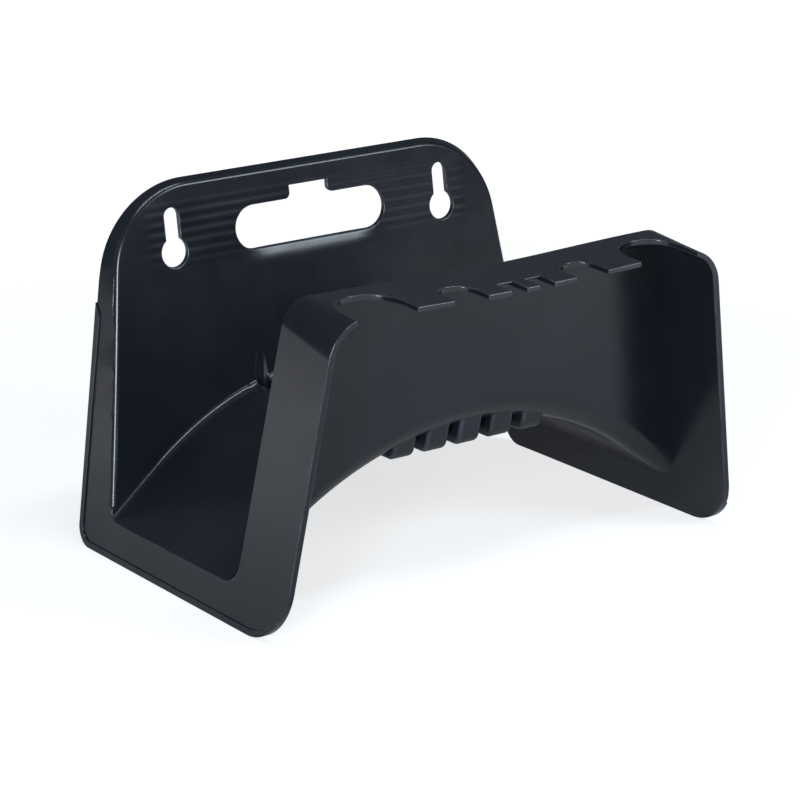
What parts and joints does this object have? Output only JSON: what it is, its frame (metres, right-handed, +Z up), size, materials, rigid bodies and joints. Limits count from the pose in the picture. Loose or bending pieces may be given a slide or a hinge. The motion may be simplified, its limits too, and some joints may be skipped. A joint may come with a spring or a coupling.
{
  "type": "wall hose hanger",
  "caption": "Moulded wall hanger for a garden hose: a round-backed saddle between a wall plate with keyholes and a handle slot, and a front plate with a cut-out shelf.",
  "frame": {"origin": "middle of the footprint, on the surface that the lower edges of the end walls stand on", "axes": "+Z up, +Y toward the wall that the hanger is screwed to, +X to the right as seen from the front"},
  "size_m": [0.2662, 0.1859, 0.1722],
  "materials": {
    "moulding": "satin anthracite moulded plastic"
  },
  "bodies": {
    "root": {"hanging_panel": "moulding", "back_panel_crest": "moulding", "back_panel_left": "moulding", "back_panel_right": "moulding", "rim_top": "moulding", "rim_corner_left": "moulding", "rim_corner_right": "moulding", "rim_side_left": "moulding", "rim_side_right": "moulding", "saddle_crest": "moulding", "saddle_left": "moulding", "saddle_right": "moulding", "end_wall_left": "moulding", "end_wall_right": "moulding", "front_plate_crest": "moulding", "front_plate_left": "moulding", "front_plate_right": "moulding", "front_flange_left": "moulding", "front_flange_right": "moulding", "accessory_shelf": "moulding", "shelf_corner_left": "moulding", "shelf_corner_right": "moulding"}
  },
  "joints": []
}
